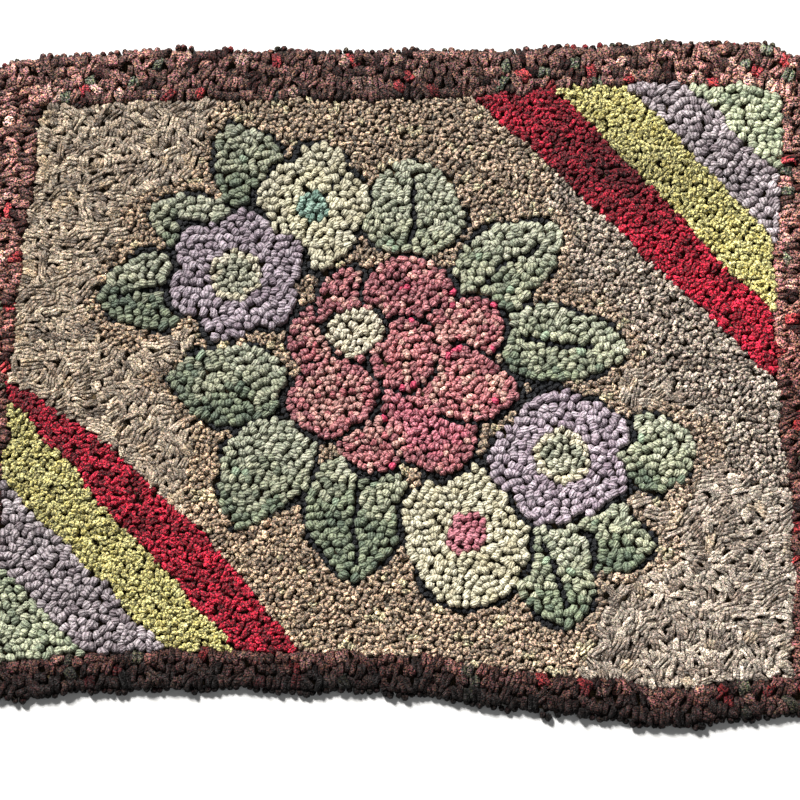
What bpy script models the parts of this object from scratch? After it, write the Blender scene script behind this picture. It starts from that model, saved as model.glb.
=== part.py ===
"""Hooked rug lying flat: yarn loops pulled up through a burlap foundation and worked out to its edges.

The rug is one piece of cloth, so it is one solid. It holds the foundation and the full height of the
pile, with the uneven outline that hand hooking leaves, a rounded shoulder round the rim and a top that
rises and dips a little. The underside is flat.

Metres, +Z up. X runs along the rug and Y across it, and the origin is under the middle of the rug.
"""

import math

import bmesh
import bpy
import numpy as np

# Driving dimensions
LENGTH = 0.800  # along X, between the straight lines that the short edges wander about
WIDTH = 0.620  # along Y, between the straight lines that the long edges wander about
FOUNDATION = 0.0015  # burlap with the flat backs of the loops
PILE = 0.0095  # height of the loops above the foundation
CORNER_RADIUS = 0.026
SHOULDER = 0.0045  # rounding of the pile at the rim
SHOULDER_STEPS = 3

# Each edge wanders outwards (plus) or inwards (minus) of its straight line.
# Columns: place along the edge as a share of half the rug, from the middle; distance outwards in metres.
FAR_EDGE = ((-1.00, 0.003), (-0.58, 0.013), (0.25, 0.014), (0.58, 0.020), (0.84, 0.021), (1.00, -0.006))
NEAR_EDGE = ((-1.00, -0.010), (-0.50, -0.021), (0.00, -0.017), (0.28, -0.001), (0.62, 0.013), (1.00, 0.002))
LEFT_EDGE = ((-1.00, 0.005), (-0.60, 0.006), (0.00, 0.003), (1.00, -0.010))
RIGHT_EDGE = ((-1.00, -0.004), (-0.45, 0.002), (0.05, -0.008), (1.00, 0.009))

# Waves along the rim, left by rows of loops that end unevenly.
# Columns: wavelength, height, where the wave starts, all in metres.
RIM_WAVES = ((0.118, 0.0012, 0.010), (0.083, 0.0009, 0.031))

# Gentle rises and dips of the pile across the rug.
# Columns: wavelength along X, wavelength along Y, height, all in metres.
TOP_WAVES = ((0.46, 0.39, 0.0005), (0.21, 0.27, 0.0003))

GRID_ALONG = 38  # cells of the top along X
GRID_ACROSS = 30  # cells of the top along Y
EDGE_CROWDING = 0.80  # 0 spaces the cells evenly, and 1 crowds them most towards the rim


def clear_scene():
    for obj in list(bpy.data.objects):
        bpy.data.objects.remove(obj, do_unlink=True)


def new_collection(name):
    collection = bpy.data.collections.new(name)
    bpy.context.scene.collection.children.link(collection)
    return collection


def wool_material():
    material = bpy.data.materials.new("hooked_wool")
    material.use_nodes = True
    shader = material.node_tree.nodes["Principled BSDF"]
    shader.inputs["Base Color"].default_value = (0.30, 0.20, 0.13, 1.0)
    shader.inputs["Roughness"].default_value = 0.95
    shader.inputs["Metallic"].default_value = 0.0
    return material


def wander(edge, along):
    """Distance outwards at each place of along: the edge's table, eased from row to row."""
    places = np.array([place for place, _ in edge])
    outwards = np.array([distance for _, distance in edge])
    row = np.clip(np.searchsorted(places, along) - 1, 0, len(edge) - 2)
    share = np.clip((along - places[row]) / (places[row + 1] - places[row]), 0.0, 1.0)
    eased = share * share * (3.0 - 2.0 * share)
    return outwards[row] + (outwards[row + 1] - outwards[row]) * eased


def rim_wave(distance):
    """Sum of the rim's sine waves at each distance along an edge."""
    waves = [h * np.sin(2.0 * math.pi * (distance + start) / length) for length, h, start in RIM_WAVES]
    return sum(waves)


def crowd(share):
    """Moves evenly spaced shares in -1 to 1 towards the ends by part of a sine curve."""
    bend = 0.5 * math.pi * EDGE_CROWDING
    return np.sin(share * bend) / math.sin(bend)


def round_corners(x, y):
    """Maps the square patch at each corner of the rectangle onto a quarter disc of CORNER_RADIUS."""
    into_x = np.clip(np.abs(x) - (0.5 * LENGTH - CORNER_RADIUS), 0.0, None) / CORNER_RADIUS
    into_y = np.clip(np.abs(y) - (0.5 * WIDTH - CORNER_RADIUS), 0.0, None) / CORNER_RADIUS
    drawn_x = into_x * (np.sqrt(1.0 - 0.5 * into_y**2) - 1.0) * CORNER_RADIUS
    drawn_y = into_y * (np.sqrt(1.0 - 0.5 * into_x**2) - 1.0) * CORNER_RADIUS
    return x + np.sign(x) * drawn_x, y + np.sign(y) * drawn_y


def plan(points):
    """Plan position of each grid point: the rounded rectangle, drawn out or in towards each edge."""
    x, y = round_corners(0.5 * LENGTH * crowd(points[:, 0]), 0.5 * WIDTH * crowd(points[:, 1]))
    along, across = 2.0 * x / LENGTH, 2.0 * y / WIDTH
    out_x = np.where(x > 0, wander(RIGHT_EDGE, across), wander(LEFT_EDGE, across)) + rim_wave(y)
    out_y = np.where(y > 0, wander(FAR_EDGE, along), wander(NEAR_EDGE, along)) + rim_wave(x)
    x = x + along * np.abs(along) * out_x
    y = y + across * np.abs(across) * out_y
    return x - 0.5 * (x.max() + x.min()), y - 0.5 * (y.max() + y.min())


def pile_top(x, y):
    """Height of the pile's top at each plan position."""
    waves = [
        height * np.sin(2.0 * math.pi * x / length) * np.cos(2.0 * math.pi * y / width)
        for length, width, height in TOP_WAVES
    ]
    return FOUNDATION + PILE + sum(waves)


def make_rug(collection):
    """A grid bent to the rug's plan and top, its rim carried down to a flat underside."""
    shape = bmesh.new()
    bmesh.ops.create_grid(shape, x_segments=GRID_ALONG, y_segments=GRID_ACROSS, size=1.0)
    weight = shape.edges.layers.float.new("bevel_weight_edge")
    points = np.array([vert.co for vert in shape.verts])
    x, y = plan(points)
    for vert, place in zip(shape.verts, np.column_stack((x, y, pile_top(x, y)))):
        vert.co = place

    rim = [edge for edge in shape.edges if edge.is_boundary]
    for edge in rim:
        edge[weight] = 1.0
    wall = bmesh.ops.extrude_edge_only(shape, edges=rim)["geom"]
    for vert in (item for item in wall if isinstance(item, bmesh.types.BMVert)):
        vert.co.z = 0.0
    foot = [edge for edge in wall if isinstance(edge, bmesh.types.BMEdge) and edge.is_boundary]
    for edge in foot:
        edge[weight] = 0.0
    bmesh.ops.contextual_create(shape, geom=foot)
    bmesh.ops.recalc_face_normals(shape, faces=shape.faces)

    mesh = bpy.data.meshes.new("hooked_rug")
    shape.to_mesh(mesh)
    shape.free()
    rug = bpy.data.objects.new("hooked_rug", mesh)
    collection.objects.link(rug)
    shoulder = rug.modifiers.new("pile_shoulder", "BEVEL")
    shoulder.limit_method = "WEIGHT"
    shoulder.width = SHOULDER
    shoulder.segments = SHOULDER_STEPS
    mesh.materials.append(wool_material())
    mesh.shade_smooth()
    mesh.set_sharp_from_angle(angle=math.radians(40.0))
    return rug


def main():
    clear_scene()
    make_rug(new_collection("Hooked rug"))


main()
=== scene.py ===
# %% [markdown]
# # A hooked rug, built loop by loop
#
# A rug hooker stretches burlap on a frame, draws the pattern on it, and pulls yarn up through the cloth
# with a small hook, one loop at a time. What you see is nothing but the round tops of those loops, packed
# so closely that they hide the cloth. So this lesson works in the same order: find the edge of the cloth,
# draw the pattern on it, decide where every loop sits, and only then make the yarn.
#
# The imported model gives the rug's outline and height. Nothing here moves or resizes it.

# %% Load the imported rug
import math
from collections import namedtuple

import bpy
import numpy as np
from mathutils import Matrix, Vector


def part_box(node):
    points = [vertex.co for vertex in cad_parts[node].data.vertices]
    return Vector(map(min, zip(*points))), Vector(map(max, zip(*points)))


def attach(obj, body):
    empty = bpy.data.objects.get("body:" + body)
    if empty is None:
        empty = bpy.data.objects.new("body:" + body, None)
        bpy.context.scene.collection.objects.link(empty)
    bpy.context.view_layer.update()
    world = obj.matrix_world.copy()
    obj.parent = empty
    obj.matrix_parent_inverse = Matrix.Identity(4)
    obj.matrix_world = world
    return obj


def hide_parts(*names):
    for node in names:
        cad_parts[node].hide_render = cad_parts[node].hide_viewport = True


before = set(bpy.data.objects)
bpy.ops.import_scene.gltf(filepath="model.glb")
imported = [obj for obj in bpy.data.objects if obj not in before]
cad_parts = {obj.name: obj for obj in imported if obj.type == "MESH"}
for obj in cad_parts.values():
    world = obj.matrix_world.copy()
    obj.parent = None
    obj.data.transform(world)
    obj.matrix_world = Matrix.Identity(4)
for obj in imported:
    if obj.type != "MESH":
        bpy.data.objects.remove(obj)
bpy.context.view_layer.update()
NODE = "hooked_rug"
node_low, node_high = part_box(NODE)
print("rug measures", [round(high - low, 4) for low, high in zip(node_low, node_high)])

# %% [markdown]
# ## The edge of the cloth
#
# Hand hooking leaves an uneven edge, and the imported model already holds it: the points where the solid
# meets the ground run round the rim. The rim is nearly a rectangle, so every point of it can be seen from
# the middle, and sorting the points by bearing puts them in order.

# %% Read the rim
def rim_of(node):
    """The rim's points in order: the mesh's lowest points, sorted by their bearing from the middle."""
    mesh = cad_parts[node].data
    points = np.empty(len(mesh.vertices) * 3)
    mesh.vertices.foreach_get("co", points)
    points = points.reshape(-1, 3)
    low = np.unique(np.round(points[points[:, 2] < 1e-4, :2], 5), axis=0)
    return low[np.argsort(np.arctan2(low[:, 1], low[:, 0]))]


rim = rim_of(NODE)
print("rim has", len(rim), "points")

# %% [markdown]
# ## A grid to draw on
#
# A maker draws on the burlap with a marker. Here the drawing board is a grid of small squares, a little
# over a millimetre each. Every question about the pattern, such as how far a place is from the edge, is
# asked of all the squares at once, because numpy answers for a whole array as easily as for one number.

# %% Lay out the drawing board
PITCH = 0.0012
MARGIN = 20  # squares left empty outside the rug
board_x = np.arange(node_low.x - MARGIN * PITCH, node_high.x + MARGIN * PITCH, PITCH)
board_y = np.arange(node_low.y - MARGIN * PITCH, node_high.y + MARGIN * PITCH, PITCH)
BX, BY = np.meshgrid(board_x, board_y)


def inset_of(x, y):
    """Distance inwards from the rim, negative outside it: the least distance to any side of the rim's
    polygon, with a sign from whether the place is nearer the middle than the rim on its bearing."""
    nearest = np.full(x.shape, np.inf)
    for (ax, ay), (bx, by) in zip(rim, np.roll(rim, -1, axis=0)):
        dx, dy = bx - ax, by - ay
        share = np.clip(((x - ax) * dx + (y - ay) * dy) / (dx * dx + dy * dy), 0.0, 1.0)
        nearest = np.minimum(nearest, (x - ax - share * dx) ** 2 + (y - ay - share * dy) ** 2)
    bearing, reach = np.arctan2(rim[:, 1], rim[:, 0]), np.hypot(rim[:, 0], rim[:, 1])
    rim_there = np.interp(np.arctan2(y, x), bearing, reach, period=2.0 * math.pi)
    return np.where(np.hypot(x, y) < rim_there, 1.0, -1.0) * np.sqrt(nearest)


def ripple(x, y, size, seed):
    """Smooth unevenness, mostly between -1 and 1: the sum of eight sine waves of about the given size in
    metres, with directions and starts drawn from the seed, divided by three."""
    draw = np.random.default_rng(seed)
    total = np.zeros(np.shape(x))
    for _ in range(8):
        way, start = draw.uniform(0.0, 2.0 * math.pi, 2)
        length = size * draw.uniform(0.7, 1.4)
        total += np.sin(2.0 * math.pi * (x * math.cos(way) + y * math.sin(way)) / length + start)
    return total / 3.0


inset = inset_of(BX, BY)
edge_slope_y, edge_slope_x = np.gradient(inset)
square_to_edge = np.arctan2(edge_slope_y, edge_slope_x)
print("board of", BX.shape, "squares, deepest place", round(float(inset.max()), 3), "m from the rim")

# %% [markdown]
# ## The piles and the yarns
#
# The same hand works fat round loops in a petal, thin long ones in the ground and tiny ones in a line, so
# each kind of pile has its own size of loop. Each yarn has a name, the kind of pile it is worked in, and
# two dye colours that its loops vary between, because hand-dyed wool is never one even shade. Colours are
# given as a dyer would match them on a screen, from 0 to 255, and turned into the linear values that
# Blender's shaders work in.

# %% List the kinds of pile
Pile = namedtuple("Pile", "length width height plies rings sides loose mixed")
PILES = {  # sizes of one loop in metres, along it, across it and up; how many plies of yarn lie side by side
    # in it; how many rings each ply's tube has, and points round it; how far in radians a loop strays from
    # its row's bearing; and how much the plies of one loop differ in brightness
    "border": Pile(0.0134, 0.0078, 0.0108, 2, 6, 5, 0.18, 0.30),
    "ground_long": Pile(0.0118, 0.0080, 0.0096, 3, 6, 5, 0.24, 0.32),
    "ground_fine": Pile(0.0072, 0.0062, 0.0094, 2, 4, 5, 0.75, 0.34),
    "outline": Pile(0.0060, 0.0042, 0.0074, 1, 4, 6, 0.22, 0.30),
    "leaf": Pile(0.0080, 0.0064, 0.0112, 1, 5, 8, 0.25, 0.08),
    "rose": Pile(0.0066, 0.0052, 0.0112, 1, 5, 7, 0.45, 0.16),
    "cream": Pile(0.0074, 0.0060, 0.0114, 1, 5, 8, 0.25, 0.08),
    "pansy": Pile(0.0086, 0.0066, 0.0112, 1, 5, 8, 0.25, 0.08),
    "heart": Pile(0.0066, 0.0054, 0.0116, 1, 5, 8, 0.25, 0.08),
    "crimson": Pile(0.0082, 0.0068, 0.0102, 2, 5, 5, 0.60, 0.25),
    "chartreuse": Pile(0.0078, 0.0064, 0.0104, 2, 5, 5, 0.60, 0.14),
    "lavender": Pile(0.0086, 0.0070, 0.0112, 1, 5, 8, 0.25, 0.08),
    "sage": Pile(0.0080, 0.0068, 0.0112, 1, 5, 8, 0.25, 0.10),
}
PILE_NAMES = list(PILES)
print(len(PILES), "kinds of pile")

# %% List the yarns
Yarn = namedtuple("Yarn", "pile light dark")
YARNS = {
    "mulberry": Yarn("border", (140, 98, 90), (62, 43, 39)),
    "greige": Yarn("ground_long", (214, 196, 173), (134, 116, 99)),
    "gold": Yarn("ground_fine", (206, 180, 150), (144, 122, 100)),
    "oat": Yarn("ground_fine", (214, 196, 173), (134, 116, 99)),
    "charcoal": Yarn("outline", (27, 29, 34), (13, 14, 18)),
    "leaf_pale": Yarn("leaf", (208, 209, 182), (149, 155, 131)),
    "leaf": Yarn("leaf", (198, 199, 167), (124, 133, 109)),
    "leaf_shade": Yarn("leaf", (150, 160, 128), (92, 108, 88)),
    "raspberry": Yarn("rose", (202, 127, 132), (138, 70, 79)),
    "dusty": Yarn("rose", (220, 142, 142), (176, 96, 102)),
    "salmon": Yarn("rose", (226, 170, 160), (188, 128, 122)),
    "hot_pink": Yarn("rose", (222, 134, 148), (182, 91, 106)),
    "cream": Yarn("cream", (234, 228, 200), (205, 196, 163)),
    "butter": Yarn("cream", (246, 240, 206), (230, 221, 184)),
    "mauve": Yarn("pansy", (206, 190, 200), (148, 130, 142)),
    "straw": Yarn("heart", (240, 230, 206), (218, 208, 176)),
    "aqua": Yarn("heart", (164, 196, 178), (116, 152, 136)),
    "moss": Yarn("heart", (206, 204, 178), (150, 154, 134)),
    "candy": Yarn("heart", (214, 138, 150), (182, 103, 116)),
    "crimson": Yarn("crimson", (236, 44, 76), (144, 18, 40)),
    "chartreuse": Yarn("chartreuse", (254, 245, 163), (215, 203, 117)),
    "lavender": Yarn("lavender", (209, 195, 199), (123, 108, 114)),
    "sage": Yarn("sage", (228, 232, 194), (146, 158, 130)),
}
YARN_NAMES = list(YARNS)
pile_of_yarn = np.array([PILE_NAMES.index(yarn.pile) for yarn in YARNS.values()] + [-1])


def linear(colour):
    """Screen values from 0 to 255 as linear light, by the standard curve's near power of 2.2."""
    return (np.asarray(colour, float) / 255.0) ** 2.2


def is_yarn(numbers, *yarns):
    """Where an array of yarn numbers holds one of the named yarns."""
    return np.isin(numbers, [YARN_NAMES.index(yarn) for yarn in yarns])


print(len(YARNS), "yarns")

# %% [markdown]
# ## Drawing the ground and the striped corners
#
# The drawing is made as a painter would, back to front: each shape paints its yarn over what is there.
# A stripe is everything that lies further out from the middle than a line, so four stripes painted from
# the innermost to the outermost fill a corner. Each line has a bearing of its own, because the stripes of
# a hand-drawn corner are never quite parallel, and one of them is bowed. A hand never draws a straight
# line either, so all the shapes are read at places that are first nudged a little by a ripple.

# %% Draw the ground and the corners
PATTERN_DROP = 0.0035  # the whole pattern sits this much nearer the near edge than the rug's middle
NUDGE, NUDGE_SIZE = 0.0020, 0.045  # how far a drawn line wavers, and over what length
EDGE_ROOM = 0.0035  # the outermost loops stand this far in, and fall outwards over the rest
nudged_x = BX + NUDGE * ripple(BX, BY, NUDGE_SIZE, 11)
nudged_y = BY + PATTERN_DROP + NUDGE * ripple(BX, BY, NUDGE_SIZE, 12)
drawing = np.full(BX.shape, -1)


def paint(yarn, where):
    """Draws a yarn on some of the board's squares, but not on those too near the rim."""
    drawing[where & (inset > EDGE_ROOM)] = YARN_NAMES.index(yarn)


CORNER_YARNS = ("crimson", "chartreuse", "lavender", "sage")
STRIPE_BOW_FROM = 0.05  # the bowed line is straight here, in metres along it, and bends away either side
STRIPES = {  # for each yarn: how far out from the rug's middle it starts, on which bearing, and its bow
    1.0: ((0.2475, 45.5, 0.0), (0.3010, 43.0, 0.0), (0.3532, 42.0, 0.0), (0.3967, 45.0, 0.0)),
    -1.0: ((0.2320, 45.0, 0.6), (0.2825, 42.0, 0.0), (0.3310, 44.0, 0.0), (0.3860, 45.0, 0.0)),
}
paint("greige", inset > 0.0)
for side, stripes in STRIPES.items():
    for yarn, (start, way, bow) in zip(CORNER_YARNS, stripes):
        turn = math.radians(way)
        out = side * (nudged_x * math.cos(turn) + nudged_y * math.sin(turn))
        run = side * (nudged_x * math.sin(turn) - nudged_y * math.cos(turn))
        paint(yarn, out - bow * (run - STRIPE_BOW_FROM) ** 2 > start)
in_corner = is_yarn(drawing, *CORNER_YARNS)
print("corner stripes cover", round(100 * in_corner.sum() / (inset > 0.0).sum()), "% of the rug")

# %% [markdown]
# ## Leaves and flowers as formulas
#
# Each motif is a small formula with its place, size and bearing in a table. A leaf is an oval that
# narrows towards its tip, a flower is a circle whose radius swells and dips as it goes round, and a petal
# is an ellipse. Each function answers with the depth, how far inside the shape each square lies, so that
# the same shape serves for the charcoal outline (a little outside, where the depth is negative), the body,
# and the shaded heart (a little inside).

# %% Define the motif shapes
def local(x, y, centre, bearing):
    """Places measured from a centre, along a bearing in degrees and square to it."""
    turn = math.radians(bearing)
    dx, dy = x - centre[0], y - centre[1]
    return dx * math.cos(turn) + dy * math.sin(turn), dy * math.cos(turn) - dx * math.sin(turn)


def leaf_depth(x, y, leaf):
    """Depth inside a leaf: its half width, which follows a rounded arch pinched towards the tip, less
    the distance from its bent midrib. Past either end it is the distance from that end, as a negative."""
    along, across = local(x, y, leaf.centre, leaf.bearing)
    share = np.clip(2.0 * along / leaf.length, -1.0, 1.0)
    across = across - leaf.bend * (share * share - 0.3)
    half = 0.5 * leaf.width * (1.0 - share * share) ** 0.55 * (1.0 - 0.22 * share)
    end = 0.5 * leaf.length - np.abs(along)
    inside = np.minimum(half - np.abs(across), end)
    return np.where(end > 0.0, inside, -np.hypot(end, across))


def flower_depth(x, y, flower):
    """Depth inside a flower: its radius on each bearing, which dips between petals, less the distance
    from its centre. The ellipse is measured by stretching the shorter way."""
    along, across = local(x, y, flower.centre, flower.bearing)
    stretch = flower.length / flower.width
    reach = np.hypot(along, across * stretch)
    lobe = np.abs(np.cos(0.5 * flower.petals * np.arctan2(across * stretch, along))) ** 0.7
    radius = 0.5 * flower.length * (1.0 - flower.dip + flower.dip * lobe)
    return (radius - reach) / stretch


def petal_depth(x, y, centre, bearing, length, width):
    """Depth inside an ellipse: one less the stretched distance from its centre, times its lesser half."""
    along, across = local(x, y, centre, bearing)
    return (1.0 - np.hypot(2.0 * along / length, 2.0 * across / width)) * 0.5 * min(length, width)

# %% List the leaves and flowers
Leaf = namedtuple("Leaf", "centre bearing length width bend rib pale shade")
# The pale and shade columns give where each leaf's painted light and painted shade begin.
LEAVES = (  # centre from the middle of the rug, bearing of the tip, sizes in metres, share of the length
    # that the rib's line runs, and how far beyond its centre the leaf turns pale and shaded
    Leaf((-0.143, 0.205), 108, 0.092, 0.066, 0.004, 0.0, 0.030, -0.004),
    Leaf((-0.196, 0.150), 166, 0.088, 0.058, -0.005, 0.6, 0.012, -0.014),
    Leaf((-0.240, 0.084), 186, 0.088, 0.070, 0.004, 0.6, 0.016, -0.012),
    Leaf((-0.160, -0.006), 176, 0.112, 0.076, -0.004, 0.0, 0.026, -0.006),
    Leaf((-0.126, -0.088), 236, 0.112, 0.078, 0.005, 0.0, 0.010, -0.032),
    Leaf((-0.040, -0.130), 268, 0.120, 0.090, 0.003, 0.75, 0.044, 0.010),
    Leaf((0.012, 0.165), 88, 0.096, 0.094, 0.003, 0.7, -0.020, -0.060),
    Leaf((0.102, 0.110), 38, 0.120, 0.074, -0.004, 0.6, 0.004, -0.034),
    Leaf((0.150, 0.034), 354, 0.124, 0.070, 0.005, 0.6, 0.010, -0.020),
    Leaf((0.240, -0.070), 8, 0.074, 0.072, 0.002, 0.0, 0.012, -0.024),
    Leaf((0.192, -0.146), 330, 0.094, 0.066, 0.004, 0.0, 0.022, -0.012),
    Leaf((0.140, -0.180), 294, 0.116, 0.076, -0.005, 0.65, 0.018, -0.020),
)
Flower = namedtuple(
    "Flower", "centre bearing length width petals dip body shade heart heart_rim heart_size crease"
)
FLOWERS = (
    Flower((-0.082, 0.166), 80, 0.124, 0.106, 5, 0.17, "cream", "butter", "aqua", "aqua", 0.011, 0.0012),
    Flower((0.062, -0.146), 100, 0.142, 0.118, 5, 0.10, "cream", "cream", "candy", "candy", 0.015, 0.0),
    Flower((-0.154, 0.100), 20, 0.132, 0.126, 6, 0.20, "mauve", "mauve", "moss", "straw", 0.021, 0.0),
    Flower((0.150, -0.074), 35, 0.136, 0.128, 5, 0.20, "mauve", "mauve", "moss", "straw", 0.021, 0.0),
)
Petal = namedtuple("Petal", "bearing out length width heart")
ROSE_CENTRE = (-0.002, 0.012)
ROSE_PETALS = (  # bearing from the rose's centre, how far out its own centre is, sizes, yarn of its heart
    Petal(160, 0.058, 0.100, 0.074, "salmon"),
    Petal(250, 0.052, 0.104, 0.080, "salmon"),
    Petal(205, 0.066, 0.088, 0.070, "salmon"),
    Petal(125, 0.060, 0.096, 0.070, "raspberry"),
    Petal(80, 0.068, 0.082, 0.088, "raspberry"),
    Petal(28, 0.058, 0.102, 0.066, "salmon"),
    Petal(300, 0.058, 0.108, 0.080, "hot_pink"),
    Petal(345, 0.056, 0.116, 0.066, "dusty"),
    Petal(70, 0.014, 0.070, 0.060, "dusty"),
)
BUTTON = ((-0.041, 0.046), 20, 0.054, 0.044)  # the rose's pale middle: centre, bearing and sizes
print(len(LEAVES), "leaves,", len(FLOWERS), "small flowers,", len(ROSE_PETALS), "rose petals")

# %% [markdown]
# ## Drawing the spray
#
# The leaves go down first, then the small flowers, the rose over them, and its button last. Around each
# motif the hooker leaves a line of charcoal loops, wider in some places than in others. Each leaf has three
# greens of painted light and shade: the palest is painted light on the side that the light would reach, the
# deepest painted shade on the other. A petal of the rose goes from raspberry at its rim to paler pinks
# inside, and the change is ragged, as it is in wool.

# %% Paint the leaves
RIB_WIDTH = 0.0052
outline_width = np.maximum(0.0046 + 0.0032 * ripple(BX, BY, 0.045, 21), 0.0014)
spray_depth = np.full(BX.shape, -1.0)


def paint_motif(depth, line):
    """Paints a charcoal line of the given width outside a motif, and notes how near the spray is."""
    global spray_depth
    spray_depth = np.maximum(spray_depth, depth)
    paint("charcoal", depth > -line)


for leaf in LEAVES:
    depth = leaf_depth(nudged_x, nudged_y, leaf)
    paint_motif(depth, outline_width)
    paint("leaf", depth > 0.0)
    along, across = local(nudged_x, nudged_y, leaf.centre, leaf.bearing)
    lit = 0.25 * (BX - leaf.centre[0]) + nudged_y - leaf.centre[1] + 0.010 * ripple(BX, BY, 0.05, 22)
    # Painted light and shade: the palest green where the light would reach, the deepest green where it would
    # not.
    paint("leaf_pale", (depth > 0.0) & (lit > leaf.pale))
    paint("leaf_shade", (depth > 0.0) & (lit < leaf.shade))
    share = 2.0 * along / leaf.length
    bent = across - leaf.bend * (share * share - 0.3)
    paint("charcoal", (np.abs(bent) < 0.5 * RIB_WIDTH) & (np.abs(share) < leaf.rib) & (depth > 0.0))
print("leaves cover", int(is_yarn(drawing, "leaf", "leaf_pale", "leaf_shade").sum()), "squares")

# %% Paint the small flowers
for flower in FLOWERS:
    depth = flower_depth(nudged_x, nudged_y, flower)
    paint_motif(depth, outline_width)
    paint(flower.body, depth > 0.0)
    paint(flower.shade, depth > 0.020)
    along, across = local(nudged_x, nudged_y, flower.centre, flower.bearing)
    turn = np.arctan2(across * flower.length / flower.width, along)
    from_crease = np.hypot(along, across) * np.abs(np.cos(0.5 * flower.petals * turn)) * 2.0 / flower.petals
    paint("charcoal", (depth > 0.0) & (from_crease < flower.crease) & (ripple(BX, BY, 0.08, 31) > -0.3))
    outside_heart = np.hypot(along, across) + 0.002 * ripple(BX, BY, 0.02, 32) - flower.heart_size
    paint(flower.heart_rim, (outside_heart < 0.004) & (outside_heart > -0.005))
    paint(flower.heart, outside_heart < -0.002)
print("small flowers cover", int(is_yarn(drawing, "cream", "butter", "mauve").sum()), "squares")

# %% Paint the rose
DUSTY_DEPTH, HEART_DEPTH = 0.0055, 0.0105  # how deep in a petal its two paler pinks begin
for petal in ROSE_PETALS:
    turn = math.radians(petal.bearing)
    centre = (ROSE_CENTRE[0] + petal.out * math.cos(turn), ROSE_CENTRE[1] + petal.out * math.sin(turn))
    depth = petal_depth(nudged_x, nudged_y, centre, petal.bearing, petal.length, petal.width)
    paint_motif(depth, 0.0038 + 0.0020 * ripple(BX, BY, 0.05, 41))
    patch = depth + 0.006 * ripple(BX, BY, 0.03, 42 + petal.bearing) + 0.004 * ripple(BX, BY, 0.013, 44)
    paint("raspberry", depth > 0.0)
    paint("dusty", (depth > 0.0) & (patch > DUSTY_DEPTH))
    paint(petal.heart, (depth > 0.0) & (patch > HEART_DEPTH))
button_depth = petal_depth(nudged_x, nudged_y, *BUTTON)
paint("charcoal", (button_depth > -0.0045) & (ripple(BX, BY, 0.05, 43) > -0.5))
paint("straw", button_depth > 0.0)
print("the rose covers", int(is_yarn(drawing, "raspberry", "dusty", "salmon", "hot_pink").sum()), "squares")

# %% [markdown]
# ## The ground and the border
#
# The ground is worked in two ways: fine loops round the spray and across the middle of the rug, and long
# ones beyond them, towards the ends. Beside the far right stripes the fine loops are of a paler yarn. The
# border goes on last, over everything. It is broader along the far edge than along the near one, as its
# maker left it, and most of all at the far left.

# %% Work the fine ground
SPRAY_ROOM, MIDDLE_HALF = 0.020, 0.172  # how far the fine ground reaches from the spray and from the middle
OAT_FROM = 0.160  # how far out towards the far right corner the fine ground turns to oat
near_spray = spray_depth + 0.008 * ripple(BX, BY, 0.09, 51) > -SPRAY_ROOM
across_middle = np.abs(BX + 0.012) + 0.020 * ripple(BX, BY, 0.14, 52) < MIDDLE_HALF
beside_stripes = (BX + BY) / math.sqrt(2.0) + 0.020 * ripple(BX, BY, 0.14, 54) > OAT_FROM
on_ground = is_yarn(drawing, "greige")
paint("oat", on_ground & beside_stripes)
paint("gold", on_ground & (near_spray | across_middle))
print("fine ground covers", int(is_yarn(drawing, "oat", "gold").sum()), "squares")

# %% Work the border
BORDER_WIDTH = 0.0395
FAR_EXTRA, NEAR_LESS = 0.0115, 0.0040  # how much broader the far border is, and how much narrower the near


def farness_of(y):
    """How far towards the far edge a place is: -1 along the near edge, 1 along the far one."""
    return np.clip(y / 0.25, -1.0, 1.0)


farness = farness_of(BY)
broad = np.where(farness > 0.0, FAR_EXTRA * (1.0 - 0.7 * np.clip(BX / 0.15, 0.0, 1.0)), NEAR_LESS) * farness
paint("mulberry", inset + 0.0018 * ripple(BX, BY, 0.035, 53) < BORDER_WIDTH + broad)
drawn = {name: int((drawing == number).sum()) for number, name in enumerate(YARN_NAMES)}
print("squares drawn in each yarn:", drawn)

# %% [markdown]
# ## Which way the loops lie
#
# A loop is longer one way than the other. Along the border the hooker works loops square to the edge, and
# the long loops of the outer ground lie roughly that way too. Inside the motifs each loop turns as the
# hand turns. The board keeps one bearing for each square.

# %% Give every square a bearing
bearing = math.pi * ripple(BX, BY, 0.12, 61)
on_border = is_yarn(drawing, "mulberry")
bearing = np.where(on_border, square_to_edge + 0.25 * ripple(BX, BY, 0.03, 62), bearing)
on_long = is_yarn(drawing, "greige")
deep = np.clip((inset - 0.07) / 0.10, 0.0, 1.0)
wandering = square_to_edge + (0.5 + 0.9 * deep) * ripple(BX, BY, 0.07, 63)
bearing = np.where(on_long, wandering, bearing)
board_pile = pile_of_yarn[drawing]
print("bearings set on", int((board_pile >= 0).sum()), "squares")

# %% [markdown]
# ## Where each loop sits
#
# Hooked loops crowd together: each takes the room its neighbours leave. A good model of that is to let
# every square of the board belong to its nearest loop, move each loop to the middle of its own squares,
# and repeat. Distance is measured shorter along the loop than across it, so that long loops get long
# patches, and a loop only claims squares of its own pile.
#
# Finding the nearest loop for all squares at once is done by jump flooding: each square asks squares 16
# away which loop they know of, then 8 away, then 4, 2 and 1, and keeps the nearest.

# %% Sow the loops
sow = np.random.default_rng(7)
ROW_STEP, ROW_GAP = 1.0746, 0.9306  # a honeycomb's steps along a row and between rows, of a square grid's
SHIFT = 0.36  # how far a place may be moved at random, as a share of the step


def square_of(x, y):
    """Row and column of the board's square at each place."""
    row = np.clip(np.rint((y - board_y[0]) / PITCH).astype(int), 0, len(board_y) - 1)
    column = np.clip(np.rint((x - board_x[0]) / PITCH).astype(int), 0, len(board_x) - 1)
    return row, column


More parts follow.
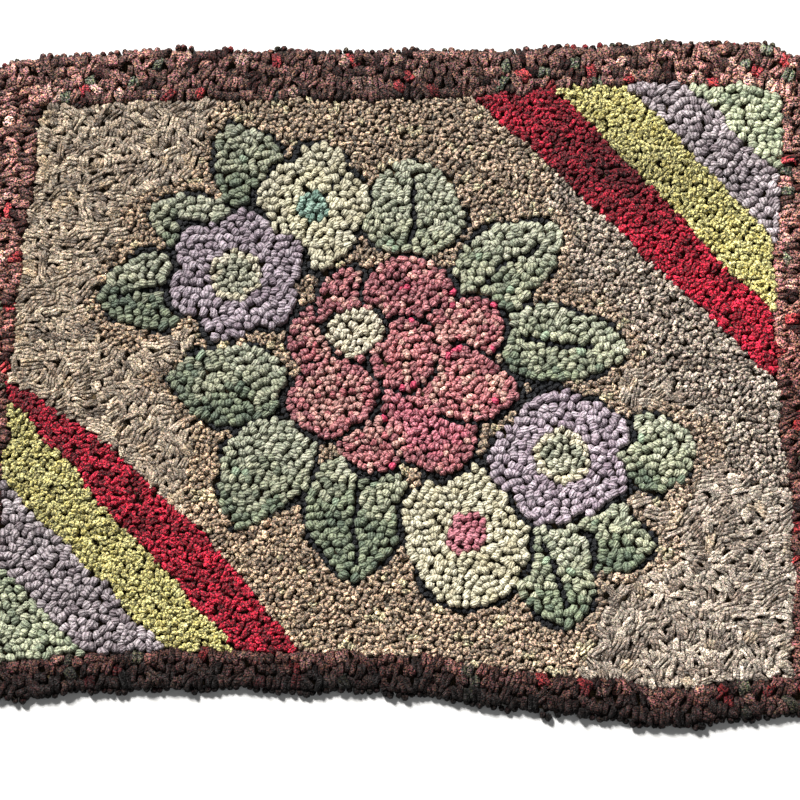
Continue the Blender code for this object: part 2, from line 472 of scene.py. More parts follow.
def sown(pile_number):
    """Starting places for one pile: a grid with every second row moved half a step, each place moved a
    little at random, kept where the board shows that pile."""
    pile = PILES[PILE_NAMES[pile_number]]
    step = math.sqrt(pile.length * pile.width)
    step_x, step_y = step * ROW_STEP, step * ROW_GAP
    rows = np.arange(board_y[0], board_y[-1], step_y)
    columns = np.arange(board_x[0], board_x[-1], step_x)
    x, y = np.meshgrid(columns, rows)
    x = x + 0.5 * step_x * (np.arange(len(rows)) % 2)[:, None]
    x = x.ravel() + step * sow.uniform(-SHIFT, SHIFT, x.size)
    y = y.ravel() + step * sow.uniform(-SHIFT, SHIFT, y.size)
    row, column = square_of(x, y)
    keep = board_pile[row, column] == pile_number
    return x[keep], y[keep]


starts = [sown(number) for number in range(len(PILE_NAMES))]
loop_x = np.concatenate([x for x, _ in starts])
loop_y = np.concatenate([y for _, y in starts])
loop_pile = np.repeat(np.arange(len(PILE_NAMES)), [len(x) for x, _ in starts])
print("sowed", len(loop_x), "loops")

# %% Let the loops settle
pile_sizes = np.array([(pile.length, pile.width) for pile in PILES.values()] + [(1.0, 1.0)])
cos_long, cos_wide = ((np.cos(bearing) / pile_sizes[board_pile, way]).astype(np.float32) for way in (0, 1))
sin_long, sin_wide = ((np.sin(bearing) / pile_sizes[board_pile, way]).astype(np.float32) for way in (0, 1))
BX32, BY32 = BX.astype(np.float32), BY.astype(np.float32)


def nearest_loops(x, y):
    """Number of the nearest loop of the same pile for each square, by jump flooding, or -1."""
    x, y = x.astype(np.float32), y.astype(np.float32)
    owner = np.full(BX.shape, -1)
    owner[square_of(x, y)] = np.arange(len(x))
    best = np.full(BX.shape, np.inf, np.float32)
    for step in (16, 8, 4, 2, 1, 1):
        for rows in (0, -step, step):
            for columns in (0, -step, step):
                asked = np.roll(owner, (rows, columns), axis=(0, 1))
                dx, dy = BX32 - x[asked], BY32 - y[asked]
                apart = (dx * cos_long + dy * sin_long) ** 2 + (dy * cos_wide - dx * sin_wide) ** 2
                known = (asked >= 0) & (loop_pile[asked] == board_pile)
                nearer = known & (apart < best)
                owner[nearer] = asked[nearer]
                best[nearer] = apart[nearer]
    return owner


def settle(rounds):
    """Moves each loop to the middle of its squares, the given number of times, and drops loops with none.
    Returns the number of each square's loop at the end."""
    global loop_x, loop_y, loop_pile
    for _ in range(rounds):
        owner = nearest_loops(loop_x, loop_y)
        held = owner >= 0
        squares = np.bincount(owner[held], minlength=len(loop_x))
        sum_x = np.bincount(owner[held], BX[held], len(loop_x))
        sum_y = np.bincount(owner[held], BY[held], len(loop_x))
        kept = squares > 0
        loop_x, loop_y = sum_x[kept] / squares[kept], sum_y[kept] / squares[kept]
        loop_pile = loop_pile[kept]
    return nearest_loops(loop_x, loop_y)


owner = settle(3)
print("settled", len(loop_x), "loops")

# %% [markdown]
# ## Measuring the patches
#
# Every loop now has a patch of squares. Its middle, its bearing, its length and its width are all the yarn
# needs to know to fill it. The spread of an even strip is its length divided by the square root of 12, so
# the spread of the squares along and across the bearing gives the two sizes back.

# %% Measure each loop's patch
held = owner >= 0
mine = owner[held]
loops = len(loop_x)
squares = np.maximum(np.bincount(mine, minlength=loops), 1)


def patch_mean(values):
    """Mean of the values over each loop's squares."""
    return np.bincount(mine, values, loops) / squares


double = 2.0 * bearing[held]  # a loop that points the other way lies the same, and twice its bearing says so
loop_way = 0.5 * np.arctan2(patch_mean(np.sin(double)), patch_mean(np.cos(double)))
dx, dy = BX[held] - loop_x[mine], BY[held] - loop_y[mine]
cos_way, sin_way = np.cos(loop_way)[mine], np.sin(loop_way)[mine]
loop_length = np.sqrt(12.0 * patch_mean((dx * cos_way + dy * sin_way) ** 2))
loop_width = np.sqrt(12.0 * patch_mean((dy * cos_way - dx * sin_way) ** 2))
nominal = pile_sizes[loop_pile]
loop_length = np.clip(loop_length, 0.72 * nominal[:, 0], 1.35 * nominal[:, 0])
loop_width = np.clip(loop_width, 0.75 * nominal[:, 1], 1.30 * nominal[:, 1])
votes = np.bincount(mine * len(YARNS) + drawing[held], minlength=loops * len(YARNS))
loop_yarn = votes.reshape(loops, len(YARNS)).argmax(axis=1)
loop_inset = inset[square_of(loop_x, loop_y)]
loop_outward = square_to_edge[square_of(loop_x, loop_y)] + math.pi
print("loops are", (1000 * loop_length.mean()).round(1), "by", (1000 * loop_width.mean()).round(1), "mm")

# %% [markdown]
# ## Dyeing the yarn
#
# Each loop's colour lies between its yarn's two shades. Neighbouring loops come from the same stretch of
# yarn, so part of the difference drifts slowly over the rug, and part is each loop's own. The border is
# worked in a mixed yarn with patches of brick red, olive, soot and old rose, and most of the other yarns
# have a few loops of an odd colour too.
#
# Then light and shade are painted into the colours. The rug grows brighter towards its near right, by a
# share that grows steadily that way, which is painted light, and its ground turns greyer there. The border
# is painted in shade along the near edge, most on its side that faces the near edge, and in light along the
# far one, where it also gains green and blue. A long patch of the far right corner is painted in shade.

# %% Give each loop its colour
hand = np.random.default_rng(23)
drift = ripple(loop_x, loop_y, 0.030, 71)
shade = np.clip(0.5 + 0.26 * drift + hand.normal(0.0, 0.24, loops), 0.0, 1.0)[:, None]
light = np.array([linear(yarn.light) for yarn in YARNS.values()])[loop_yarn]
dark = np.array([linear(yarn.dark) for yarn in YARNS.values()])[loop_yarn]
loop_dye = light * shade + dark * (1.0 - shade)
Patch = namedtuple("Patch", "yarn dye size start odds seed")
PATCHES = (  # colours worked in here and there: where their ripple is above start, and how often there
    Patch("mulberry", (136, 52, 54), 0.030, 0.55, 0.30, 81),
    Patch("mulberry", (94, 92, 78), 0.026, 0.65, 0.28, 82),
    Patch("mulberry", (48, 26, 24), 0.034, 0.60, 0.35, 83),
    Patch("mulberry", (158, 120, 110), 0.030, 0.55, 0.26, 84),
    Patch("sage", (136, 190, 148), 0.030, 1.20, 0.45, 85),
    Patch("leaf", (158, 178, 148), 0.040, 0.90, 0.25, 86),
    Patch("greige", (188, 166, 138), 0.040, 0.50, 0.30, 87),
    Patch("gold", (202, 188, 150), 0.030, 0.50, 0.40, 88),
    Patch("raspberry", (222, 162, 152), 0.020, 0.00, 0.22, 89),
    Patch("raspberry", (218, 66, 104), 0.032, 1.05, 0.80, 90),
    Patch("dusty", (232, 178, 164), 0.024, 0.00, 0.40, 92),
    Patch("salmon", (184, 98, 104), 0.020, 0.00, 0.30, 93),
)
for patch in PATCHES:
    here = is_yarn(loop_yarn, patch.yarn)
    here &= ripple(loop_x, loop_y, patch.size, patch.seed) > patch.start
    here &= hand.random(loops) < patch.odds
    loop_dye[here] = linear(patch.dye) * hand.uniform(0.8, 1.2, (int(here.sum()), 1))
print("patches of odd colours:", len(PATCHES))

# %% Paint light and shade into the colours
# Painted light: the colours brighten towards the near right at these rates; the ground brightens less to the
# right.
PAINTED_LIGHT_RIGHT, PAINTED_LIGHT_NEAR = 0.85, 0.60  # how fast the colours pale, to a metre
GROUND_PAINTED_LIGHT, GROUND_GREY = 0.32, 0.22  # the ground pales less to the right, and turns greyer that way
FAR_BORDER_TINT = 0.20  # how much green and blue the far border has gained


def painted_border_shading(x, y, inset):
    """Share of its brightness that the border keeps, as painted light and shade: a straight rise from the
    near edge to the far one, plus a curve in x that rises to the right and at both corners, more strongly
    along the far edge, less a painted shade that grows across the border towards its side that faces the near
    edge."""
    side = farness_of(y)
    facing = side * (np.clip(inset / BORDER_WIDTH, 0.0, 1.0) - 0.5)
    near_curve = 0.55 * x + 2.2 * x * x - 0.12
    far_curve = 0.9 * x + 12.0 * x * x - 0.28
    sideways = np.where(side < 0.0, near_curve, far_curve)
    # Painted light along the far edge and painted shade along the near one, most on the side facing the near
    # edge.
    keep = 0.88 + 1.6 * y + sideways - np.where(side < 0.0, 1.2, 0.75) * facing
    return np.clip(keep, 0.14, 2.3)


# Painted shade: a long patch in the far right corner, its centre, bearing and sizes; below, how much of each
# stripe's brightness it takes at most.
SHADE_CENTRE, SHADE_BEARING, SHADE_LONG, SHADE_WIDE = (0.222, 0.198), -10.0, 0.115, 0.040
CORNER_SHADE = {"crimson": 0.78, "chartreuse": 0.42, "lavender": 0.50, "sage": 0.25}  # most lost in the dark lot


def painted_corner_shade(x, y, most):
    """Share of its brightness that a corner's yarn keeps: all of it but in a long patch of painted shade in
    the far right corner, where it loses up to the given share. The patch fades out as a bell curve each way."""
    along, across = local(x, y, SHADE_CENTRE, SHADE_BEARING)
    return 1.0 - most * np.exp(-((along / SHADE_LONG) ** 2) - (across / SHADE_WIDE) ** 2)


in_border = is_yarn(loop_yarn, "mulberry")
is_ground = is_yarn(loop_yarn, "greige", "gold", "oat")
darker = np.array([CORNER_SHADE.get(yarn, 0.0) for yarn in YARN_NAMES])[loop_yarn]
# Painted light towards the near right, the border's painted light and shade, and the corner's painted shade.
kept = np.exp(np.where(is_ground, GROUND_PAINTED_LIGHT, PAINTED_LIGHT_RIGHT) * loop_x - PAINTED_LIGHT_NEAR * loop_y)
kept = np.where(in_border, painted_border_shading(loop_x, loop_y, loop_inset), kept)
kept = kept * painted_corner_shade(loop_x, loop_y, darker)
loop_dye = loop_dye * kept[:, None]
greyer = np.where(is_ground, GROUND_GREY * loop_x, 0.0)
loop_dye = loop_dye * np.stack((1.0 - 0.5 * greyer, np.ones(loops), 1.0 + greyer), axis=1)
far_border_tint = np.where(in_border, FAR_BORDER_TINT * np.maximum(farness_of(loop_y), 0.0), 0.0)
loop_dye = loop_dye * np.stack((np.ones(loops), 1.0 + far_border_tint, 1.0 + far_border_tint), axis=1)
print("loop colours run from", loop_dye.min(axis=0).round(3), "to", loop_dye.max(axis=0).round(3))

# %% [markdown]
# ## The shape of one loop
#
# A loop is an arch of soft yarn: it leaves the cloth, swells, turns over at the top and goes back in
# beside where it came out. It is a tube round a path. The path's run is a flattened cosine and its rise a
# flattened sine, so that the top is broad, as it is where loops press against each other. The tube is fat
# outside the arch and thin inside it, where the two legs press together, and no two tubes are quite
# alike: soft lumps travel round each one.
#
# With thousands of loops, each one may have only a few dozen faces. So the tube has four to six rings of
# five to eight points, and smooth shading with a strand pattern in the material does the rest. Where the
# yarn is thin, two or three such tubes lie side by side and make one loop, as plies do.

# %% Work out the loops' surfaces
FOOT = 0.0012  # height at which a loop leaves the cloth
TUBE_START, TUBE_SHARE = 0.09, 0.82  # share of the path where the tube's rings start, and share they span


def flattened(values, power):
    """The values with their sign kept and their size raised to a power below one."""
    return np.sign(values) * np.abs(values) ** power


def with_ends(tube, half):
    """Adds one point at half a length back along the loop before the tube's points, and one as far on
    after them."""
    ends = np.zeros((len(tube), 2, 3))
    ends[:, 0, 0], ends[:, 1, 0] = -half, half
    return np.concatenate((ends[:, :1], tube, ends[:, 1:]), axis=1)


def loop_surface(length, width, reach, rings, sides, bend, phases):
    """Points of many loops at once, in each loop's own frame (along, across, up), as an array of loops by
    points by 3. At a share t of the path, the tube's middle is minus half of (length less two thicknesses)
    times the flattened cosine of pi t along, (reach less one thickness) times the flattened sine of pi t
    up, and the bend times the sine of 2 pi t across. Round it, at angle a, the surface is half the width
    times the flattened cosine of a across, and the thickness times the flattened sine of a outwards, but
    half that inwards. Two waves round the tube, with the loop's own phases, are the lumps."""
    t = (TUBE_START + TUBE_SHARE * np.arange(rings) / (rings - 1))[:, None]
    a = (2.0 * math.pi * np.arange(sides) / sides)[None, :]
    arch, turn = np.sin(math.pi * t), np.cos(math.pi * t)
    length, width, reach, bend = (np.reshape(value, (-1, 1, 1)) for value in (length, width, reach, bend))
    first, second = phases[:, 0, None, None], phases[:, 1, None, None]
    lumps = 1.0 + 0.10 * np.cos(2.0 * a + first + 4.0 * t) + 0.09 * np.cos(3.0 * a + second - 6.0 * t)
    swell = arch ** 0.14 * lumps
    outside = np.minimum(0.34 * length, 0.50 * width)
    half = 0.5 * length - outside
    thick = np.where(np.sin(a) > 0.0, outside, 0.5 * outside) * flattened(np.sin(a), 0.8) * swell
    along = -half * flattened(turn, 0.8) - thick * turn
    up = (reach - outside) * arch ** 0.45 + thick * arch
    across = 0.5 * width * flattened(np.cos(a), 0.7) * swell + bend * np.sin(2.0 * math.pi * t)
    tube = np.stack(np.broadcast_arrays(along, across, up), axis=-1).reshape(len(length), -1, 3)
    return with_ends(tube, half[:, 0, 0])


print("a loop's tube fills", TUBE_SHARE, "of its path")

# %% List one loop's faces
def loop_faces(rings, sides):
    """One loop's faces: bands of four-sided faces between its rings and a fan at each foot. Returns the
    points at the faces' corners, the number of corners of each face, and each corner's place on the yarn
    (share along it, share round it)."""
    ring, side = np.divmod(np.arange((rings - 1) * sides), sides)
    first, after = 1 + ring * sides, (side + 1) % sides
    bands = np.stack((first + side, first + sides + side, first + sides + after, first + after), axis=1)
    step = TUBE_SHARE / (rings - 1)
    low, high = TUBE_START + step * ring, TUBE_START + step * (ring + 1)
    left, right = side / sides, (side + 1) / sides
    band_place = np.stack((low, left, high, left, high, right, low, right), axis=1).reshape(-1, 2)
    side = np.arange(sides)
    after, last = (side + 1) % sides, 1 + (rings - 1) * sides
    foot, far = np.zeros(sides, int), np.full(sides, 1 + rings * sides)
    near_fan = np.stack((foot, 1 + side, 1 + after), axis=1)
    far_fan = np.stack((far, last + after, last + side), axis=1)
    fans = np.concatenate((near_fan, far_fan))
    left, right, middle = side / sides, (side + 1) / sides, (side + 0.5) / sides
    low, high, end = (np.full(sides, share) for share in (TUBE_START, 1.0 - TUBE_START, 1.0))
    near = np.stack((np.zeros(sides), middle, low, left, low, right), axis=1)
    away = np.stack((end, middle, high, right, high, left), axis=1)
    fan_place = np.concatenate((near, away)).reshape(-1, 2)
    corners = np.concatenate((bands.ravel(), fans.ravel()))
    counts = np.concatenate((np.full(len(bands), 4), np.full(len(fans), 3)))
    return corners, counts, np.concatenate((band_place, fan_place))


leaf_counts = loop_faces(PILES["leaf"].rings, PILES["leaf"].sides)[1]
print("a leaf loop has", len(leaf_counts), "faces, or", int((leaf_counts - 2).sum()), "triangles")

# %% Stand the loops up
LOWEST = 0.0003  # no yarn of the pile comes nearer the floor than this


def points_at(x, y, z):
    """An array of points from their x, y and z, any of which may be one number for all."""
    return np.stack(np.broadcast_arrays(x, y, z), axis=1)


def stand(points, middles, ups, ways, lowest=LOWEST):
    """Puts each loop's points into the rug's frame: up is turned to the loop's own up, along to its way
    made square to that, and across to the product of the two. No point ends up below the lowest height."""
    ups = ups / np.linalg.norm(ups, axis=1, keepdims=True)
    ways = ways - ups * np.sum(ways * ups, axis=1, keepdims=True)
    ways = ways / np.linalg.norm(ways, axis=1, keepdims=True)
    axes = np.stack((ways, np.cross(ups, ways), ups), axis=1)
    stood = middles[:, None, :] + np.einsum("npk,nkc->npc", points, axes)
    stood[:, :, 2] = np.maximum(stood[:, :, 2], lowest)
    return stood


print("no yarn comes lower than", 1000 * LOWEST, "mm")

# %% [markdown]
# ## Joining many loops into one mesh
#
# Blender is quick with one mesh of a hundred thousand faces and slow with ten thousand objects, so each
# kind of pile becomes one mesh. The numbers of the faces' corners are the same for every loop but for a
# step, so the whole list is made by adding a column to a row.
#
# The mesh carries three things for its material: the dye of each loop, a map of the place along and round
# the yarn, which the strands follow, and a second map that gives each loop a small square of its own, for
# anyone who bakes the colours into a picture.

# %% Define the mesh maker
def new_object(name, data):
    """An object in the scene, at the origin, that holds this data."""
    made = bpy.data.objects.new(name, data)
    bpy.context.scene.collection.objects.link(made)
    return made


def joined_mesh(name, points, template, dyes):
    """One object from many copies of a template: points by copy, the template's corners, counts and places
    on the yarn, and one dye for each copy."""
    corners, counts, places = template
    copies, each = points.shape[:2]
    numbers = (corners[None, :] + each * np.arange(copies)[:, None]).ravel()
    sizes = np.tile(counts, copies)
    starts = np.concatenate(([0], np.cumsum(sizes)[:-1]))
    mesh = bpy.data.meshes.new(name)
    mesh.vertices.add(copies * each)
    mesh.vertices.foreach_set("co", points.ravel())
    mesh.loops.add(len(numbers))
    mesh.loops.foreach_set("vertex_index", numbers)
    mesh.polygons.add(len(sizes))
    mesh.polygons.foreach_set("loop_start", starts)
    mesh.update(calc_edges=True)
    mesh.shade_smooth()
    dye = mesh.attributes.new("dye", "FLOAT_COLOR", "POINT")
    rgba = np.concatenate((dyes, np.ones((copies, 1))), axis=1)
    dye.data.foreach_set("color", np.repeat(rgba, each, axis=0).ravel())
    yarn_map = mesh.uv_layers.new(name="Yarn")
    yarn_map.data.foreach_set("uv", np.tile(places, (copies, 1)).ravel())
    across = math.ceil(math.sqrt(copies))
    cell = np.stack((np.arange(copies) % across, np.arange(copies) // across), axis=1)
    tiled = (cell[:, None, :] + 0.06 + 0.88 * places[None, :, :]) / across
    bake_map = mesh.uv_layers.new(name="OFBake")
    bake_map.data.foreach_set("uv", tiled.ravel())
    mesh.validate()
    return new_object(name, mesh)

# %% [markdown]
# ## Short ways to build a material
#
# A material is a tree of nodes: some read where a point is, some work out numbers from that, and the last
# one is the shader. The trees below have dozens of nodes, so each kind gets a helper that adds one node,
# links what goes into it, and returns what comes out. A sum or a product is then one line.

# %% Define short ways to build a material
def feed(tree, made, inputs):
    """Sets a node's inputs, named or numbered: a number or colour goes on the input itself, and another
    node's output is linked to it."""
    for key, value in inputs.items():
        if isinstance(value, bpy.types.NodeSocket):
            tree.links.new(value, made.inputs[key])
        else:
            made.inputs[key].default_value = value


def node(tree, kind, inputs, **settings):
    """Adds a node with these settings and inputs, and returns its outputs."""
    made = tree.nodes.new(kind)
    for key, value in settings.items():
        setattr(made, key, value)
    feed(tree, made, inputs)
    return made.outputs


def maths(tree, operation, *terms):
    """A Math node on one, two or three terms, each a number or another node's output."""
    return node(tree, "ShaderNodeMath", dict(enumerate(terms)), operation=operation)[0]


def plus(tree, *terms):
    """All the terms added up, from the first on."""
    total = terms[0]
    for term in terms[1:]:
        total = maths(tree, "ADD", total, term)
    return total


def times(tree, *terms):
    """All the terms multiplied, from the first on."""
    product = terms[0]
    for term in terms[1:]:
        product = maths(tree, "MULTIPLY", product, term)
    return product


def vectors(tree, operation, inputs):
    """A Vector Math node, which works on colours as well as on places."""
    return node(tree, "ShaderNodeVectorMath", inputs, operation=operation)[0]


def span(tree, value, low, high, to_low, to_high):
    """A Map Range node: the value's low to high becomes to_low to to_high, held at the ends."""
    return node(tree, "ShaderNodeMapRange", {0: value, 1: low, 2: high, 3: to_low, 4: to_high})[0]


def noise(tree, coordinates, scale, detail):
    """A Noise Texture node with this many lumps to a metre: its value, and its colour."""
    return node(tree, "ShaderNodeTexNoise", {0: coordinates, 2: scale, 3: detail})


def relief_of(tree, height, distance):
    """A Bump node: the height, times a distance in metres, stands off the surface."""
    return node(tree, "ShaderNodeBump", {"Strength": 0.9, "Distance": distance, "Height": height})[0]


def new_material(name):
    """A material with its tree and its shader."""
    material = bpy.data.materials.new(name)
    material.use_nodes = True
    return material, material.node_tree, material.node_tree.nodes["Principled BSDF"]


print("ways to build a material are ready")

# %% [markdown]
# ## Wool
#
# Woollen yarn is dull and a little furry. Its colour is the loop's dye, broken up by fine fibres, with
# painted shade in the grooves between its strands and more painted shade down at the cloth, where light
# hardly reaches, and a painted highlight of pale colour along the strands' ridges. The bump follows the same
# strands and fibres. A soft sheen stands for the fuzz that catches light at grazing angles.

# %% Define the wool
def wool(name, strands, turns, groove_shade, tweed, heather, fineness, knots, ridge_highlight, shine, root_shade, height):
    """Wool of the given number of strands round the yarn, which turn round it so many times in one loop.
    groove_shade is how bright the painted shade leaves the lines between strands, tweed how much light and
    dark fibre is mixed in, heather how much the fibres differ in hue, and fineness how many such flecks there
    are to a metre. Knots is how high the flecks stand, ridge_highlight how much pale colour is painted along
    the strands' ridges as highlight, shine how much light the yarn's surface throws back undyed, root_shade
    how bright the painted shade leaves the yarn down at the cloth, and height how tall the pile is. A
    strand's height is the sine, without its sign, of the place round the yarn plus the place along it plus a
    crinkle."""
    material, tree, shader = new_material(name)
    dye = node(tree, "ShaderNodeAttribute", {}, attribute_name="dye")["Color"]
    place = node(tree, "ShaderNodeSeparateXYZ", {0: node(tree, "ShaderNodeUVMap", {}, uv_map="Yarn")[0]})
    coordinates = node(tree, "ShaderNodeTexCoord", {})["Object"]
    above_cloth = node(tree, "ShaderNodeSeparateXYZ", {0: coordinates})[2]
    fibre = noise(tree, coordinates, 1300.0, 3.0)[0]
    fleck, fleck_colour = noise(tree, coordinates, fineness, 2.0)
    crinkle = noise(tree, coordinates, 420.0, 2.0)[0]

    round_yarn = times(tree, place[1], strands * math.pi)
    along_yarn = times(tree, place[0], turns * 2.0 * math.pi)
    twist = plus(tree, round_yarn, along_yarn, crinkle)
    strand = maths(tree, "ABSOLUTE", maths(tree, "SINE", twist))
    # Painted shade in the grooves between strands.
    lines = span(tree, strand, 0.0, 0.6, groove_shade, 1.0)
    fibres = span(tree, fibre, 0.3, 0.7, 0.70, 1.30)
    flecks = span(tree, fleck, 0.40, 0.60, 1.0 - tweed, 1.0 + tweed)
    # Painted shade down at the cloth, between the loops.
    depth = span(tree, above_cloth, 0.26 * height, 0.92 * height, root_shade, 1.0)
    tone = times(tree, times(tree, lines, fibres), times(tree, flecks, depth))
    # A fleck's colour lies round a half, and this gain and base turn it into factors round one.
    hue_gain, hue_base = 3 * (6.0 * heather,), 3 * (1.0 - 3.0 * heather,)
    hues = vectors(tree, "MULTIPLY_ADD", {0: fleck_colour, 1: hue_gain, 2: hue_base})
    colour = vectors(tree, "SCALE", {0: vectors(tree, "MULTIPLY", {0: dye, 1: hues}), "Scale": tone})
    ridge = times(tree, strand, fibre)
    # Painted highlight: pale colour added along the strands' ridges, less of it down at the cloth.
    pale = times(tree, span(tree, ridge, 0.40, 0.62, 0.0, ridge_highlight), depth)
    fine, coarse, knotty = times(tree, fibre, 1.2), times(tree, crinkle, 2.5), times(tree, fleck, knots)
    feed(tree, shader, {
        "Base Color": vectors(tree, "ADD", {0: colour, 1: pale}),
        "Roughness": span(tree, fibre, 0.3, 0.7, 0.45, 0.75),
        "Normal": relief_of(tree, plus(tree, strand, fine, coarse, knotty), 0.0009),
        "Sheen Weight": 0.12 * shine,
        "Sheen Roughness": 0.5,
        "Specular IOR Level": shine,
    })
    return material

# %% Mix a wool for each pile
# groove_shade and root_shade are painted shade, ridge_highlight a painted highlight.
WOOLS = {  # strands, turns, groove, tweed, heather, fineness, knots, frost, shine and gloom
    "border": (2, 1.0, 0.45, 0.95, 0.34, 600.0, 7.0, 0.05, 0.16, 0.04),
    "ground_long": (2, 1.5, 0.40, 0.50, 0.10, 700.0, 4.0, 0.24, 0.50, 0.22),
    "ground_fine": (3, 0.8, 0.45, 0.75, 0.12, 600.0, 5.0, 0.16, 0.50, 0.04),
    "outline": (4, 0.5, 0.60, 0.35, 0.10, 700.0, 3.0, 0.01, 0.30, 0.03),
    "leaf": (10, 0.5, 0.38, 0.22, 0.08, 800.0, 2.0, 0.12, 0.50, 0.03),
    "rose": (8, 0.5, 0.38, 0.30, 0.12, 800.0, 2.0, 0.22, 0.35, 0.03),
    "cream": (10, 0.5, 0.45, 0.16, 0.04, 800.0, 2.0, 0.06, 0.50, 0.03),
    "pansy": (10, 0.3, 0.36, 0.16, 0.06, 800.0, 1.5, 0.10, 0.50, 0.03),
    "heart": (8, 0.5, 0.45, 0.14, 0.05, 800.0, 2.0, 0.08, 0.50, 0.03),
    "crimson": (3, 1.2, 0.30, 0.75, 0.12, 520.0, 8.0, 0.07, 0.28, 0.04),
    "chartreuse": (3, 1.2, 0.38, 0.60, 0.06, 520.0, 8.0, 0.14, 0.50, 0.10),
    "lavender": (10, 0.3, 0.34, 0.18, 0.06, 800.0, 1.5, 0.24, 0.50, 0.03),
    "sage": (9, 0.5, 0.38, 0.22, 0.08, 800.0, 2.0, 0.10, 0.50, 0.03),
}
wools = {pile: wool(pile + "_wool", *values, PILES[pile].height) for pile, values in WOOLS.items()}
print("mixed", len(wools), "wools")

# %% [markdown]
# ## Hooking the pile
#
# Now every patch gets its loop. No two are pulled to the same height, and each leans a little. Near the
# rim there is nothing outside to hold the loops up, so they fall outwards over the edge of the cloth.
#
# Where a loop has several plies, they share its patch side by side, bend together, and differ a little in
# height, in place and in dye. Each tube is made somewhat too big for its share, so that it presses into
# its neighbours and leaves no gaps.

# %% Decide how each loop stands
UNEVEN, DRIFT = 0.075, 0.04  # how much the loops' heights differ, each by itself and from place to place
FALL_ROOM = 0.020  # loops nearer the rim than this fall outwards
FALL_LEAN, FALL_DROP = 0.85, 0.16  # how far those at the rim lean, and the share of height they lose
reach = np.array([pile.height for pile in PILES.values()])[loop_pile] - FOOT
uneven = UNEVEN * hand.normal(0.0, 1.0, loops).clip(-2.0, 1.6) + DRIFT * ripple(loop_x, loop_y, 0.05, 91)
fall = np.clip(1.0 - loop_inset / FALL_ROOM, 0.0, 1.0) ** 1.5
reach = reach * (1.0 + uneven)
reach = reach * (1.0 - FALL_DROP * fall)
lean_x, lean_y = hand.normal(0.0, 0.18, (loops, 2)).T
lean_x = lean_x + FALL_LEAN * fall * np.cos(loop_outward)
lean_y = lean_y + FALL_LEAN * fall * np.sin(loop_outward)
ups = points_at(lean_x, lean_y, 1.0)
loose = np.array([pile.loose for pile in PILES.values()])[loop_pile]
turned = loop_way + loose * hand.normal(0.0, 1.0, loops)
ways = points_at(np.cos(turned), np.sin(turned), 0.0)
middles = points_at(loop_x, loop_y, FOOT)
print("loops reach", (1000 * reach.min()).round(1), "to", (1000 * reach.max()).round(1), "mm above the cloth")

# %% Hook the loops
CROWDING = 1.37  # neighbouring loops press into each other by this much
PLY_SPREAD = 1.15  # and plies by this much more
PLY_BEND, PLY_HEIGHT, PLY_SHIFT = 0.07, 0.05, 0.08  # how unlike they are, in shares of a loop's sizes
pieces = {}
for number, (pile_name, pile) in enumerate(PILES.items()):
    here = np.repeat(np.flatnonzero(loop_pile == number), pile.plies)
    several = pile.plies > 1
    ply = np.arange(len(here)) % pile.plies - 0.5 * (pile.plies - 1)
    wander = PLY_BEND * pile.plies
    bend = wander * loop_length[here] * np.repeat(hand.normal(0.0, 1.0, len(here) // pile.plies), pile.plies)
    stretch = CROWDING * hand.uniform(0.90, 1.12, len(here))
    spread = PLY_SPREAD if several else 1.0
    across = spread * CROWDING ** 2 / stretch * loop_width[here] / pile.plies
    tall = reach[here] * (1.0 + (PLY_HEIGHT if several else 0.0) * hand.normal(0.0, 1.0, len(here)))
    spin = hand.uniform(0.0, 2.0 * math.pi, (len(here), 2))
    surface = loop_surface(stretch * loop_length[here], across, tall, pile.rings, pile.sides, bend, spin)
    surface[:, :, 1] += (spread * ply * loop_width[here] / pile.plies)[:, None]
    surface[:, :, 0] += (PLY_SHIFT * loop_length[here] * ply * hand.normal(0.0, 1.0, len(here)))[:, None]
    points = stand(surface, middles[here], ups[here], ways[here])
    template = loop_faces(pile.rings, pile.sides)
    dyes = loop_dye[here] * np.exp(pile.mixed * hand.normal(0.0, 1.0, (len(here), 1)).clip(-1.6, 1.4))
    piece = joined_mesh(pile_name + "_loops", points, template, dyes)
    piece.data.materials.append(wools[pile_name])
    pieces[pile_name] = piece
    print(piece.name, len(here), "tubes,", len(here) * int((template[1] - 2).sum()), "triangles")

# %% [markdown]
# ## The rim, and yarn that has come loose
#
# Along the rim stands a last row of loops that lie almost flat, outwards, and hide the edge of the cloth.
# An old rug also has a few loops that something has caught and pulled, so two dozen stick out of the rim,
# in threes, longer and thinner than the rest. They are made with the same formula as the pile.

# %% Find the rim's places and dyes
RIM_SPACING, RIM_DEPTH = 0.0064, 0.0052  # how far apart the last loops start, and how far inside the rim


def along_rim(spacing, depth):
    """Places at an even spacing along the rim and a given depth inside it, with the outward bearing there.
    The rim is read by its length from its start, and the outward bearing is square to the edge's run."""
    closed = np.concatenate((rim, rim[:1]))
    run = np.concatenate(([0.0], np.cumsum(np.hypot(*np.diff(closed, axis=0).T))))
    at = np.linspace(0.0, run[-1], round(run[-1] / spacing), endpoint=False)
    x, y = np.interp(at, run, closed[:, 0]), np.interp(at, run, closed[:, 1])
    outward = square_to_edge[square_of(x, y)] + math.pi
    return x - depth * np.cos(outward), y - depth * np.sin(outward), outward


def rim_yarns(count):
    """Dyes for loops of the border's yarn: its light shade, darkened by chance, and now and then one of
    its odd colours."""
    own = linear(YARNS["mulberry"].light) * hand.uniform(0.30, 1.0, (count, 1))
    odd_dyes = np.array([linear(patch.dye) for patch in PATCHES if patch.yarn == "mulberry"])
    odd = odd_dyes[hand.integers(0, len(odd_dyes), count)]
    return np.where(hand.random((count, 1)) < 0.35, odd, own)


x, y, outward = along_rim(RIM_SPACING, RIM_DEPTH)
print("the rim has room for", len(x), "loops")

